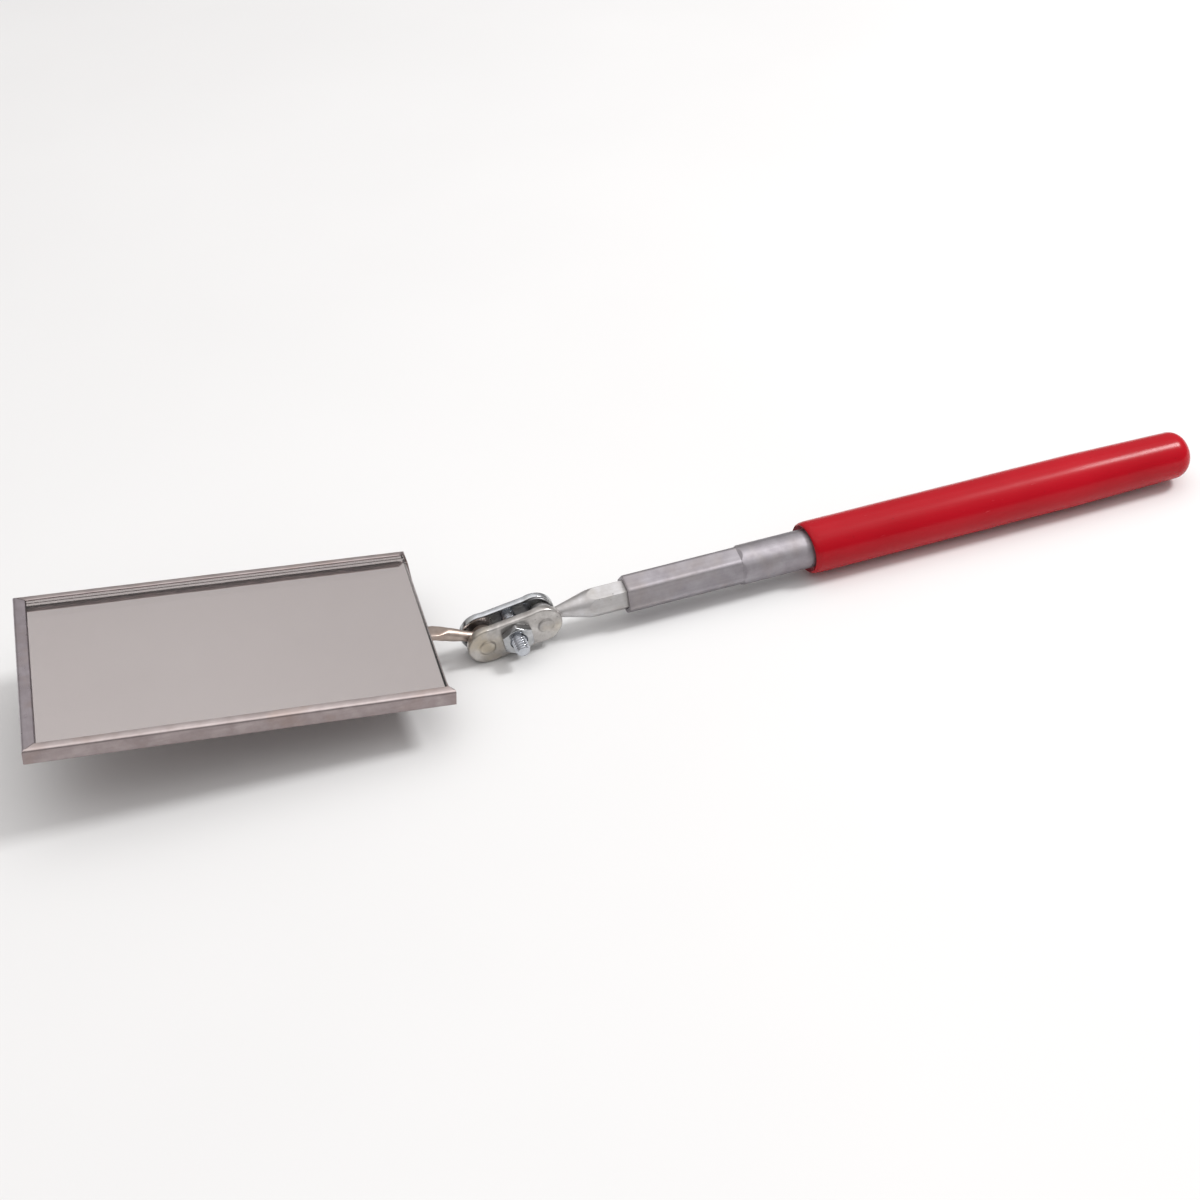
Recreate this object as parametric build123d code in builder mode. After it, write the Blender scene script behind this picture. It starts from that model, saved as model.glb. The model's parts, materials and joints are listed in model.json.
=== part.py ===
from build123d import *
import os
from math import atan2, cos, degrees, radians, sin

os.makedirs("parts", exist_ok=True)

# Telescoping inspection mirror, in millimetres.
# +X runs along the handle from the mirror towards the closed end of the grip, +Z is up.
# The origin is on the handle axis, halfway along the straight part of the grip.

# ---- driving dimensions: handle, along X ----
GRIP_FRONT = -35.0            # open lip of the grip
GRIP_LENGTH = 103.1
GRIP_R = 6.45
GRIP_END_R = 5.95             # radius just before the dome
GRIP_STRAIGHT = 71.0          # straight length before the taper
GRIP_DOME = 5.0
GRIP_LIP = 1.2
MOUTH_R = 5.35                # loose, ragged mouth of the sleeve
MOUTH_DEPTH = 2.5

TUBE_R = 4.7625               # 3/8 in outside diameter
TUBE_BORE_R = 3.875
TUBE_MOUTH = -80.6
TUBE_END = 64.5
HEX_LENGTH = 28.4             # front length swaged to a hexagon
HEX_FADE = 1.0                # run over which the flats fade into the round
HEX_FLATS = 8.5
HEX_CORNER = 1.4              # outside corner radius of the swaged hexagon
HEX_BORE_FLATS = 6.55
HEX_TURN = 14.7               # turn of the hexagon about the handle axis, degrees

ROD_FLATS = 6.35              # 1/4 in hexagon rod
ROD_END = 54.0
NECK_R = 1.25
NECK_LENGTH = 3.5             # from the ball's centre to the start of the cone
TAPER_END = 13.2              # from the ball's centre to the end of the cone
TAPER_END_R = 3.75
TAIL_R = 2.2                  # turned tail that carries the stop bush
TAIL_LENGTH = 9.0

FIT_GAP = 0.03                # between the tail, the bush and the ring
BUSH_R = 3.825
BUSH_LENGTH = 8.0
GROOVE_R = 3.2
GROOVE_WIDTH = 1.6
RING_R = 3.8
RING_WIDTH = 1.4
RING_GAP = 30.0               # open angle of the split ring

# ---- driving dimensions: ball clamp ----
BALL_R = 3.0
ROD_BALL_X = -100.8
BALL_SPACING = 14.4
CLAMP_PITCH = 9.0             # clamp rises towards the handle
CLAMP_YAW = 1.0
CLAMP_ROLL = 4.6              # the screw's tip dips
PLATE_END_R = 4.9             # round ends, a little wider than the waist
PLATE_END_X = 6.55            # centre of each round end, from the screw
PLATE_WAIST = 9.4
PLATE_BLEND = 6.0             # radius between a round end and the waist
PLATE_RIM = 1.73              # rim's distance from the middle plane
PLATE_FACE = 3.6              # outer face's distance from the middle plane
PLATE_SHEET = 0.9
PLATE_BEND = 0.6              # outside bend radius
PLATE_HOLE_R = 1.9
NEAR_PLATE_SHIFT = -0.2       # both outlines sit off their holes, towards the mirror
FAR_PLATE_SHIFT = -0.75
DOME_R = 4.06                 # outside radius of the raised seat over each ball
SEAT_GAP = 0.03

SCREW_R = 1.75                # number 6 machine screw
SCREW_TIP = 9.2
TIP_CHAMFER = 0.4
HEAD_R = 2.95
HEAD_HEIGHT = 2.1
HEAD_ROUND = 0.8
SLOT_WIDTH = 1.0
SLOT_DEPTH = 0.9
NUT_FLATS = 7.0
NUT_HEIGHT = 1.9
NUT_BORE_R = 1.82
NUT_CHAMFER = 0.45
NUT_TURN = 87.0
NUT_GAP = 0.02

# ---- driving dimensions: mirror head ----
HEAD_PITCH = 6.16             # mirror slopes down towards the handle
HEAD_YAW = 3.05
HEAD_ANCHOR = (-25.98, 0.71, 3.10)   # back edge of the frame's open end, from the rod ball
FRAME_LENGTH = 91.0
FRAME_WIDTH = 56.0
FRAME_WALL = 3.8
FRAME_SHEET = 0.5
SIDE_LIP = 2.1                # width of the two long lips
END_LIP = 2.8                 # width of the lip at the closed end
LIP_RISE = 0.2                # height gained across a lip
LIP_CUT = 1.4                 # slanting cut at the open end
FAR_CUT = 1.1                 # further cut on the far lip, leaning the wall's end
BACK_TRIM = 0.5               # back sheet stops short of the walls at the open end
MITRE_SLIT = 0.16
GLASS_LENGTH = 88.9           # 3-1/2 in
GLASS_WIDTH = 53.975          # 2-1/8 in
GLASS_THICK = 2.0
GLASS_INSET = 0.3             # from the closed end's wall
PAD_THICK = 0.6
PAD_MARGIN = 3.0
STEM_R = 1.55
STEM_NECK_R = 1.3
STEM_NECK_LENGTH = 5.2        # from the ball's centre
STEM_NECK_TAPER = 2.4         # length over which the neck widens
PADDLE_WIDTH = 4.2
PADDLE_THICK = 1.6
PADDLE_LENGTH = 16.0
STEM_BEND_X = 0.6             # where the stem bends, beyond the frame's open end
STEM_FLAT = 3.4               # length over which the round stem is pressed flat


def unit(pitch, yaw):
    """A direction near +X, raised by pitch and turned towards -Y by yaw, in degrees."""
    p = radians(pitch)
    y = radians(yaw)
    return Vector(cos(p) * cos(y), -cos(p) * sin(y), sin(p))


# ---- reference points and planes ----
rod_ball_at = Vector(ROD_BALL_X, 0, 0)
clamp_along = unit(CLAMP_PITCH, CLAMP_YAW)
lean = Vector(0, -sin(radians(CLAMP_ROLL)), cos(radians(CLAMP_ROLL)))
clamp_axis = clamp_along.cross(lean).normalized()
stem_ball_at = rod_ball_at - clamp_along * BALL_SPACING
clamp_middle = rod_ball_at - clamp_along * (BALL_SPACING / 2)
near_plane = Plane(origin=clamp_middle, x_dir=clamp_along, z_dir=clamp_axis)
far_plane = Plane(origin=clamp_middle, x_dir=clamp_along, z_dir=clamp_axis * -1)

head_along = unit(-HEAD_PITCH, HEAD_YAW)
head_across = Vector(sin(radians(HEAD_YAW)), cos(radians(HEAD_YAW)), 0)
head_plane = Plane(
    origin=rod_ball_at + Vector(*HEAD_ANCHOR),
    x_dir=head_along,
    z_dir=head_along.cross(head_across),
)
stem_ball_local = head_plane.to_local_coords(stem_ball_at)
stem_bend_at = head_plane.from_local_coords(Vector(STEM_BEND_X, 0, -PADDLE_THICK / 2))
stem_out = (stem_bend_at - stem_ball_at).normalized()
stem_length = (stem_bend_at - stem_ball_at).length
stem_plane = Plane(origin=stem_ball_at, x_dir=head_across, z_dir=stem_out)

handle_plane = Plane.YZ


# ---- outer tube: round at the grip, swaged to a hexagon at the mouth ----
hex_end = TUBE_MOUTH + HEX_LENGTH
fade_end = hex_end + HEX_FADE
with BuildPart() as hex_envelope:
    with BuildSketch(handle_plane.offset(TUBE_MOUTH)) as hex_section:
        RegularPolygon(HEX_FLATS / 2, 6, major_radius=False, rotation=HEX_TURN)
        fillet(hex_section.vertices(), HEX_CORNER)
    extrude(amount=HEX_LENGTH)
    with BuildSketch(handle_plane.offset(hex_end)) as fade_start_section:
        RegularPolygon(HEX_FLATS / 2, 6, major_radius=False, rotation=HEX_TURN)
        fillet(fade_start_section.vertices(), HEX_CORNER)
    with BuildSketch(handle_plane.offset(fade_end)) as fade_end_section:
        RegularPolygon(TUBE_R + 0.1, 6, major_radius=False, rotation=HEX_TURN)
        fillet(fade_end_section.vertices(), HEX_CORNER)
    loft()
    with BuildSketch(handle_plane.offset(fade_end)):
        Circle(TUBE_R + 1)
    extrude(amount=TUBE_END - fade_end)
with BuildPart() as outer_tube:
    with BuildSketch(handle_plane.offset(TUBE_MOUTH)):
        Circle(TUBE_R)
    extrude(amount=TUBE_END - TUBE_MOUTH)
    add(hex_envelope.part, mode=Mode.INTERSECT)
    with BuildSketch(handle_plane.offset(TUBE_MOUTH)):
        RegularPolygon(HEX_BORE_FLATS / 2, 6, major_radius=False, rotation=HEX_TURN)
    extrude(amount=HEX_LENGTH, mode=Mode.SUBTRACT)
    with BuildSketch(handle_plane.offset(hex_end)):
        Circle(TUBE_BORE_R)
    extrude(amount=TUBE_END - hex_end, mode=Mode.SUBTRACT)
outer_tube.part.label = "outer_tube"

# ---- grip: a closed plastic sleeve with a rounded lip, a slow taper and a domed end ----
grip_end = GRIP_FRONT + GRIP_LENGTH
taper_at = GRIP_FRONT + GRIP_STRAIGHT
dome_at = grip_end - GRIP_DOME
with BuildPart() as grip_sleeve:
    with BuildSketch(Plane.XZ):
        with BuildLine():
            Line((grip_end, 0), (GRIP_FRONT, 0))
            Line((GRIP_FRONT, 0), (GRIP_FRONT, GRIP_R - GRIP_LIP))
            ThreePointArc(
                (GRIP_FRONT, GRIP_R - GRIP_LIP),
                (
                    GRIP_FRONT + GRIP_LIP * (1 - cos(radians(45))),
                    GRIP_R - GRIP_LIP * (1 - sin(radians(45))),
                ),
                (GRIP_FRONT + GRIP_LIP, GRIP_R),
            )
            Line((GRIP_FRONT + GRIP_LIP, GRIP_R), (taper_at, GRIP_R))
            Line((taper_at, GRIP_R), (dome_at, GRIP_END_R))
            EllipticalCenterArc((dome_at, 0), GRIP_DOME, GRIP_END_R, start_angle=0, arc_size=90)
        make_face()
    revolve(axis=Axis.X)
    with BuildSketch(handle_plane.offset(GRIP_FRONT)):
        Circle(TUBE_R)
    extrude(amount=TUBE_END - GRIP_FRONT, mode=Mode.SUBTRACT)
    with BuildSketch(handle_plane.offset(GRIP_FRONT)):
        Circle(MOUTH_R)
    extrude(amount=MOUTH_DEPTH, taper=12, mode=Mode.SUBTRACT)
grip_sleeve.part.label = "grip_sleeve"

# ---- telescoping rod: hexagon bar, tapered to a round neck, with a turned tail ----
tail_start = ROD_END - TAIL_LENGTH
neck_end = ROD_BALL_X + NECK_LENGTH
with BuildPart() as telescoping_rod:
    with BuildSketch(handle_plane.offset(neck_end)):
        Circle(NECK_R)
    with BuildSketch(handle_plane.offset(ROD_BALL_X + TAPER_END)):
        Circle(TAPER_END_R)
    loft()
    with BuildSketch(handle_plane.offset(ROD_BALL_X + TAPER_END)):
        Circle(TAPER_END_R)
    extrude(amount=1)
    with BuildSketch(handle_plane.offset(ROD_BALL_X)):
        RegularPolygon(ROD_FLATS / 2, 6, major_radius=False, rotation=HEX_TURN)
    extrude(amount=TAPER_END + 1, mode=Mode.INTERSECT)
    with BuildSketch(handle_plane.offset(ROD_BALL_X + TAPER_END + 1)):
        RegularPolygon(ROD_FLATS / 2, 6, major_radius=False, rotation=HEX_TURN)
    extrude(amount=tail_start - ROD_BALL_X - TAPER_END - 1)
    with BuildSketch(handle_plane.offset(tail_start)):
        Circle(TAIL_R)
    extrude(amount=TAIL_LENGTH)
    with BuildSketch(handle_plane.offset(neck_end)):
        Circle(NECK_R)
    extrude(amount=BALL_R / 2 - NECK_LENGTH)
    with Locations(rod_ball_at):
        Sphere(BALL_R + SEAT_GAP, mode=Mode.SUBTRACT)
telescoping_rod.part.label = "telescoping_rod"

# ---- stop bush on the rod's tail, too wide to pass the hexagon mouth ----
bush_at = tail_start
with BuildPart() as rod_stop_bush:
    with BuildSketch(handle_plane.offset(bush_at)):
        Circle(BUSH_R)
        Circle(TAIL_R + FIT_GAP, mode=Mode.SUBTRACT)
    extrude(amount=BUSH_LENGTH)
    with BuildSketch(handle_plane.offset(bush_at + (BUSH_LENGTH - GROOVE_WIDTH) / 2)):
        Circle(BUSH_R + 1)
        Circle(GROOVE_R, mode=Mode.SUBTRACT)
    extrude(amount=GROOVE_WIDTH, mode=Mode.SUBTRACT)
rod_stop_bush.part.label = "rod_stop_bush"

# ---- split friction ring in the bush's groove ----
with BuildPart() as friction_ring:
    with BuildSketch(handle_plane.offset(bush_at + (BUSH_LENGTH - RING_WIDTH) / 2)):
        Circle(RING_R)
        Circle(GROOVE_R + FIT_GAP, mode=Mode.SUBTRACT)
        with BuildLine():
            Polyline(
                (0, 0),
                (2 * RING_R, -2 * RING_R * sin(radians(RING_GAP / 2))),
                (2 * RING_R, 2 * RING_R * sin(radians(RING_GAP / 2))),
                close=True,
            )
        make_face(mode=Mode.SUBTRACT)
    extrude(amount=RING_WIDTH)
friction_ring.part.label = "friction_ring"

# ---- the two balls ----
with BuildPart() as rod_ball:
    with Locations(rod_ball_at):
        Sphere(BALL_R)
rod_ball.part.label = "rod_ball"
with BuildPart() as stem_ball:
    with Locations(stem_ball_at):
        Sphere(BALL_R)
stem_ball.part.label = "stem_ball"


# ---- clamp plates: shallow pressed pans with a round seat for each ball ----
def clamp_plate(plane, shift):
    """One pan that opens towards the middle plane, with its outline moved along by shift."""
    inner_face = PLATE_FACE - PLATE_SHEET
    centres = [plane.from_local_coords(Vector(side * BALL_SPACING / 2, 0, 0)) for side in (-1, 1)]
    seats = [Pos(*centre) * Sphere(BALL_R + SEAT_GAP) for centre in centres]
    outward = plane.offset(inner_face + PLATE_SHEET / 2) * extrude(Circle(4 * PLATE_END_R), BALL_R)
    domes = [Pos(*centre) * Sphere(DOME_R) & outward for centre in centres]
    with BuildPart() as plate:
        for inset, top, mode in (
            (0, PLATE_FACE, Mode.ADD),
            (PLATE_SHEET, inner_face, Mode.SUBTRACT),
        ):
            with BuildSketch(plane.offset(PLATE_RIM)) as outline:
                with Locations((shift, 0)):
                    Rectangle(2 * PLATE_END_X, PLATE_WAIST - 2 * inset)
                with Locations((shift - PLATE_END_X, 0), (shift + PLATE_END_X, 0)):
                    Circle(PLATE_END_R - inset)
                corners = outline.vertices().filter_by(lambda corner: abs(corner.Y) > PLATE_WAIST / 4)
                fillet(corners, PLATE_BLEND)
            extrude(amount=top - PLATE_RIM, mode=mode)
            if mode == Mode.ADD:
                faces = plate.faces().filter_by(lambda face: face.normal_at().dot(plane.z_dir) > 0.99)
                fillet(faces.edges(), PLATE_BEND)
        add(domes)
        add(seats, mode=Mode.SUBTRACT)
        with BuildSketch(plane):
            Circle(PLATE_HOLE_R)
        extrude(amount=2 * PLATE_FACE, mode=Mode.SUBTRACT)
    return plate.part


near_clamp_plate = clamp_plate(near_plane, NEAR_PLATE_SHIFT)
near_clamp_plate.label = "near_clamp_plate"
far_clamp_plate = clamp_plate(far_plane, FAR_PLATE_SHIFT)
far_clamp_plate.label = "far_clamp_plate"

# ---- clamp screw: pan head on the far plate, plain shank, chamfered tip ----
with BuildPart() as clamp_screw:
    with BuildSketch(near_plane.offset(-PLATE_FACE)):
        Circle(SCREW_R)
    extrude(amount=PLATE_FACE + SCREW_TIP)
    tip = clamp_screw.faces().filter_by(GeomType.PLANE)
    tip = tip.filter_by(lambda face: face.normal_at().dot(clamp_axis) > 0.99)
    chamfer(tip.edges(), TIP_CHAMFER)
    with BuildSketch(near_plane.offset(-PLATE_FACE)):
        Circle(HEAD_R)
    extrude(amount=-HEAD_HEIGHT)
    head = clamp_screw.faces().filter_by(lambda face: face.normal_at().dot(clamp_axis) < -0.99)
    fillet(head.sort_by(Axis((0, 0, 0), tuple(clamp_axis)))[0].edges(), HEAD_ROUND)
    with BuildSketch(near_plane.offset(-PLATE_FACE - HEAD_HEIGHT)):
        Rectangle(4 * HEAD_R, SLOT_WIDTH)
    extrude(amount=SLOT_DEPTH, mode=Mode.SUBTRACT)
clamp_screw.part.label = "clamp_screw"

# ---- clamp nut: hexagon with both faces chamfered ----
nut_base = PLATE_FACE + NUT_GAP
nut_plane = near_plane.offset(nut_base)
nut_corner_r = NUT_FLATS / 2 / cos(radians(30))
with BuildPart() as nut_turning:
    with BuildSketch(nut_plane):
        Circle(nut_corner_r)
    extrude(amount=NUT_HEIGHT)
    chamfer(nut_turning.edges(), NUT_CHAMFER / 2, NUT_CHAMFER)
with BuildPart() as clamp_nut:
    with BuildSketch(nut_plane):
        RegularPolygon(NUT_FLATS / 2, 6, major_radius=False, rotation=NUT_TURN)
    extrude(amount=NUT_HEIGHT)
    add(nut_turning.part, mode=Mode.INTERSECT)
    with BuildSketch(nut_plane):
        Circle(NUT_BORE_R)
    extrude(amount=NUT_HEIGHT, mode=Mode.SUBTRACT)
clamp_nut.part.label = "clamp_nut"

# ---- mirror frame: folded sheet channel, closed on three sides, open towards the handle ----
lip_slope = LIP_RISE / SIDE_LIP
pocket_depth = FRAME_WALL - 2 * FRAME_SHEET + lip_slope * FRAME_SHEET
mitre_angle = degrees(atan2(SIDE_LIP, END_LIP))
frame_mid_x = -FRAME_LENGTH / 2
beyond = FRAME_WIDTH


def open_channel(end_inset, side_inset):
    """A rectangle inset from the three closed sides, running out through the open end."""
    with Locations(((beyond - FRAME_LENGTH) / 2, 0)):
        Rectangle(FRAME_LENGTH + beyond - 2 * end_inset, FRAME_WIDTH - 2 * side_inset)


def lip_roof(drop, start):
    """A hipped block whose three sloping sides are the lips, from start inwards, lowered by drop."""
    with BuildPart() as roof:
        for share in (start / SIDE_LIP, 1):
            with BuildSketch(head_plane.offset(FRAME_WALL - drop + LIP_RISE * share)):
                open_channel(END_LIP * share, SIDE_LIP * share)
        loft()
    return roof.part


with BuildPart() as mirror_frame:
    with BuildSketch(head_plane):
        with Locations((frame_mid_x, 0)):
            Rectangle(FRAME_LENGTH, FRAME_WIDTH)
    extrude(amount=FRAME_WALL)
    add(lip_roof(0, 0))
    add(lip_roof(FRAME_SHEET, FRAME_SHEET), mode=Mode.SUBTRACT)
    with BuildSketch(head_plane.offset(FRAME_SHEET)):
        open_channel(FRAME_SHEET, FRAME_SHEET)
    extrude(amount=pocket_depth, mode=Mode.SUBTRACT)
    with BuildSketch(head_plane.offset(FRAME_SHEET)):
        open_channel(END_LIP, SIDE_LIP)
    extrude(amount=2 * FRAME_WALL, mode=Mode.SUBTRACT)
    with BuildSketch(head_plane.offset(-1)):
        with Locations((beyond / 2, 0)):
            Rectangle(beyond, 2 * FRAME_WIDTH)
        with Locations(((beyond - BACK_TRIM) / 2, 0)):
            Rectangle(beyond + BACK_TRIM, FRAME_WIDTH - 2 * FRAME_SHEET)
    extrude(amount=4 * FRAME_WALL, mode=Mode.SUBTRACT)
    for side, lean in ((-1, 0), (1, FAR_CUT)):
        edge = side * FRAME_WIDTH / 2
        with BuildSketch(head_plane.offset(FRAME_WALL - FRAME_SHEET)):
            Polygon(
                (0.01, edge),
                (0.01, edge - side * 2 * SIDE_LIP),
                (-2 * LIP_CUT - lean, edge - side * 2 * SIDE_LIP),
                (-lean, edge),
                align=None,
            )
        extrude(amount=FRAME_WALL, mode=Mode.SUBTRACT)
        with BuildSketch(head_plane.offset(FRAME_WALL - FRAME_SHEET)):
            with Locations(Location((-FRAME_LENGTH, edge, 0), (0, 0, -mitre_angle * side))):
                Rectangle(2 * END_LIP + SIDE_LIP, MITRE_SLIT)
        extrude(amount=FRAME_WALL, mode=Mode.SUBTRACT)
    with BuildSketch(Plane(origin=head_plane.origin, x_dir=head_plane.x_dir, z_dir=head_plane.y_dir * -1)):
        Polygon(
            (0.01, 0),
            (0.01, 2 * FRAME_WALL),
            (-FAR_CUT, 2 * FRAME_WALL),
            (-FAR_CUT, FRAME_WALL),
            align=None,
        )
    extrude(amount=-FRAME_WIDTH, mode=Mode.SUBTRACT)
mirror_frame.part.label = "mirror_frame"

# ---- backing pad and mirror glass in the channel ----
glass_x = -FRAME_LENGTH + FRAME_SHEET + GLASS_INSET + GLASS_LENGTH / 2
with BuildPart() as backing_pad:
    with BuildSketch(head_plane.offset(FRAME_SHEET)):
        with Locations((glass_x, 0)):
            Rectangle(GLASS_LENGTH - 2 * PAD_MARGIN, GLASS_WIDTH - 2 * PAD_MARGIN)
    extrude(amount=PAD_THICK)
backing_pad.part.label = "backing_pad"
with BuildPart() as mirror_glass:
    with BuildSketch(head_plane.offset(FRAME_SHEET + PAD_THICK)):
        with Locations((glass_x, 0)):
            Rectangle(GLASS_LENGTH, GLASS_WIDTH)
    extrude(amount=GLASS_THICK)
mirror_glass.part.label = "mirror_glass"

# ---- mirror stem: round rod from the ball, pressed flat into a paddle under the frame ----
stem_neck_end = STEM_NECK_LENGTH + STEM_NECK_TAPER
with BuildPart() as mirror_stem:
    with BuildSketch(stem_plane):
        Circle(STEM_NECK_R)
    extrude(amount=STEM_NECK_LENGTH)
    with BuildSketch(stem_plane.offset(STEM_NECK_LENGTH)):
        Circle(STEM_NECK_R)
    with BuildSketch(stem_plane.offset(stem_neck_end)):
        Circle(STEM_R)
    loft()
    with BuildSketch(stem_plane.offset(stem_neck_end)):
        Circle(STEM_R)
    extrude(amount=stem_length - STEM_FLAT - stem_neck_end)
    with BuildSketch(stem_plane.offset(stem_length - STEM_FLAT)):
        Circle(STEM_R)
    with BuildSketch(Plane(origin=stem_bend_at, x_dir=head_across, z_dir=head_along * -1)):
        RectangleRounded(PADDLE_WIDTH, PADDLE_THICK, PADDLE_THICK * 0.45)
    loft()
    with BuildSketch(Plane(origin=stem_bend_at, x_dir=head_across, z_dir=head_along * -1)):
        RectangleRounded(PADDLE_WIDTH, PADDLE_THICK, PADDLE_THICK * 0.45)
    extrude(amount=PADDLE_LENGTH)
    with Locations(stem_ball_at):
        Sphere(BALL_R + SEAT_GAP, mode=Mode.SUBTRACT)
mirror_stem.part.label = "mirror_stem"

# ---- write every piece ----
pieces = (
    outer_tube.part,
    grip_sleeve.part,
    telescoping_rod.part,
    rod_stop_bush.part,
    friction_ring.part,
    rod_ball.part,
    stem_ball.part,
    near_clamp_plate,
    far_clamp_plate,
    clamp_screw.part,
    clamp_nut.part,
    mirror_frame.part,
    backing_pad.part,
    mirror_glass.part,
    mirror_stem.part,
)
for piece in pieces:
    export_step(piece, f"parts/{piece.label}.step")
print("rod ball", rod_ball_at, "stem ball", stem_ball_at)
print("clamp axis", clamp_axis, "stem axis", stem_out, "head up", head_plane.z_dir, "head along", head_along)
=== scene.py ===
import json
import math

import bmesh
import bpy
import numpy as np
from mathutils import Matrix, Vector

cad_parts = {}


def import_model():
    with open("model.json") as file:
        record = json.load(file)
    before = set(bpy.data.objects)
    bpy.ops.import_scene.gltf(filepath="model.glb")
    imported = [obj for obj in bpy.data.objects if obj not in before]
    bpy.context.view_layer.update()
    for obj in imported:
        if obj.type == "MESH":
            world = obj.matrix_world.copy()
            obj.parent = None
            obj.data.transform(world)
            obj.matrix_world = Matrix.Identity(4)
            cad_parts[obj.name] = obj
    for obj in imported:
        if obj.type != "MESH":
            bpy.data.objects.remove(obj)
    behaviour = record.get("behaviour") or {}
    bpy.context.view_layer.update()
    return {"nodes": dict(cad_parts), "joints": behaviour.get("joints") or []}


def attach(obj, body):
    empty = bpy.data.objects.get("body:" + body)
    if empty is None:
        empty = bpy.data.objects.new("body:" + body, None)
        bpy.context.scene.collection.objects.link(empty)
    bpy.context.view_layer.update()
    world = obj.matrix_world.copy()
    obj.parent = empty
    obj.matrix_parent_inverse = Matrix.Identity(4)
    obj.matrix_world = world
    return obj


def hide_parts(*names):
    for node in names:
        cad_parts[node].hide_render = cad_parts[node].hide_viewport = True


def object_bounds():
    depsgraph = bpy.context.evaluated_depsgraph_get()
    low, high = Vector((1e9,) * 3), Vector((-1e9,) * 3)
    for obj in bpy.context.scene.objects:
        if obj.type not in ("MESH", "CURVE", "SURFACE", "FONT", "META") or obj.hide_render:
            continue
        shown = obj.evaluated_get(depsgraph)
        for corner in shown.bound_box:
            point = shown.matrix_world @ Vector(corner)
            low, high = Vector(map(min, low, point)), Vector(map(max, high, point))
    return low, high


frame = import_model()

MM = 0.001
TURN = 2 * math.pi

# ---------------------------------------------------------------- places, from the frame
JOINTS = {joint["name"]: joint for joint in frame["joints"]}


def joint_at(name):
    return Vector(JOINTS[name]["pos_m"]) / MM


def joint_axis(name):
    return Vector(JOINTS[name]["axis"]).normalized()


def long_and_short_axes(node):
    """A box-shaped node's centre (mm), and its long and short directions."""
    points = np.array([v.co for v in frame["nodes"][node].data.vertices]) / MM
    points = np.unique(points.round(4), axis=0)
    centre = (points.max(0) + points.min(0)) / 2
    directions = np.linalg.svd(points - points.mean(0))[2]
    return Vector(centre), Vector(directions[0]), Vector(directions[2])


def frame_matrix(origin, along, up):
    """Local millimetres to row metres, with local x near along and local z on up."""
    z = up.normalized()
    x = (along - z * along.dot(z)).normalized()
    y = z.cross(x)
    turn = Matrix((x, y, z)).transposed().to_4x4()
    return Matrix.Scale(MM, 4) @ Matrix.Translation(origin) @ turn


ROD_BALL = joint_at("clamp_tilt")
STEM_BALL = joint_at("mirror_tilt")
CLAMP_AXIS = joint_axis("clamp_tilt")
BALL_SPACING = (ROD_BALL - STEM_BALL).length
CLAMP_MIDDLE = (ROD_BALL + STEM_BALL) / 2
HANDLE = Matrix.Scale(MM, 4)
NEAR = frame_matrix(CLAMP_MIDDLE, ROD_BALL - STEM_BALL, CLAMP_AXIS)
FAR = frame_matrix(CLAMP_MIDDLE, ROD_BALL - STEM_BALL, -CLAMP_AXIS)
GLASS_CENTRE, head_long, head_up = long_and_short_axes("mirror_glass")
head_long = head_long if head_long.x > 0 else -head_long
head_up = head_up if head_up.z > 0 else -head_up

# ---------------------------------------------------------------- sizes, in millimetres
FRAME_LENGTH, FRAME_WIDTH, FRAME_WALL = 91.0, 56.0, 3.8
SHEET = 0.5
SIDE_LIP, END_LIP, LIP_RISE = 2.1, 2.8, 0.2
LIP_CUT, FAR_CUT, BACK_TRIM = 1.4, 1.1, 0.5
BEND, FOLD_R = 0.55, 0.75     # outer radius at the channel's back, and at its lip
BACK_REACH = 8.0              # how far each folded strip runs under the glass
SEAM = 0.08                   # how far each lip stops short of its mitre
LIP_SWAY = 0.03               # unevenness of the folded lips
GLASS_LENGTH, GLASS_WIDTH, GLASS_THICK = 88.9, 53.975, 2.0
GLASS_BASE = 1.1              # height of the glass's underside above the frame's back
GLASS_INSET = 0.8             # frame's closed end to the glass
SILVER = 0.06

TUBE_R, TUBE_BORE_R = 4.7625, 3.875
TUBE_MOUTH, TUBE_END = -80.6, 64.5
MOUTH_EDGE, MOUTH_EDGE_LENGTH = 0.2, 0.3
MOUTH_FLARE, MOUTH_FLARE_LENGTH = 0.15, 0.4
FADED_FLATS = 2 * TUBE_R + 0.2     # flats this wide lie outside the round tube
HEX_END, FADE_END = -52.2, -51.2
HEX_FLATS, HEX_BORE_FLATS, HEX_CORNER = 8.5, 6.55, 1.4
HEX_TURN = math.radians(14.7)
BORE_CORNER = 0.3
ROD_FLATS, ROD_END, TAIL_START = 6.35, 54.0, 45.0
ROD_CORNER, TAIL_R, TAIL_CHAMFER = 0.15, 2.2, 0.3
BALL_R, BALL_RINGS, BALL_SIDES = 3.0, 32, 56
BALL_OVERLAP = 2.72           # where a rod's neck starts, inside its ball
NECK_R, NECK_END = 1.25, 3.5
TAPER_END, TAPER_END_R = 13.2, 3.75
TAPER_BLEND, BAR_CHAMFER = 0.06, 0.25

GRIP_FRONT, GRIP_END = -35.0, 68.1
GRIP_R, GRIP_END_R = 6.45, 5.95
GRIP_TAPER, GRIP_DOME, GRIP_LIP = 36.0, 5.0, 2.0
GRIP_INSET = 0.03             # keeps the uneven skin inside the solid's box
DOME_POWER = 2.4
GRIP_SIDES = 96
LIP_WOBBLE, BARREL_WOBBLE, MOUTH_WOBBLE = 0.05, 0.02, 0.10
MOUTH_R, MOUTH_DEPTH = 5.8, 1.0
MOUTH_SLANT, SLANT_REACH = 0.11, 5.0   # the sleeve's open end is cut a little askew

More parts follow.
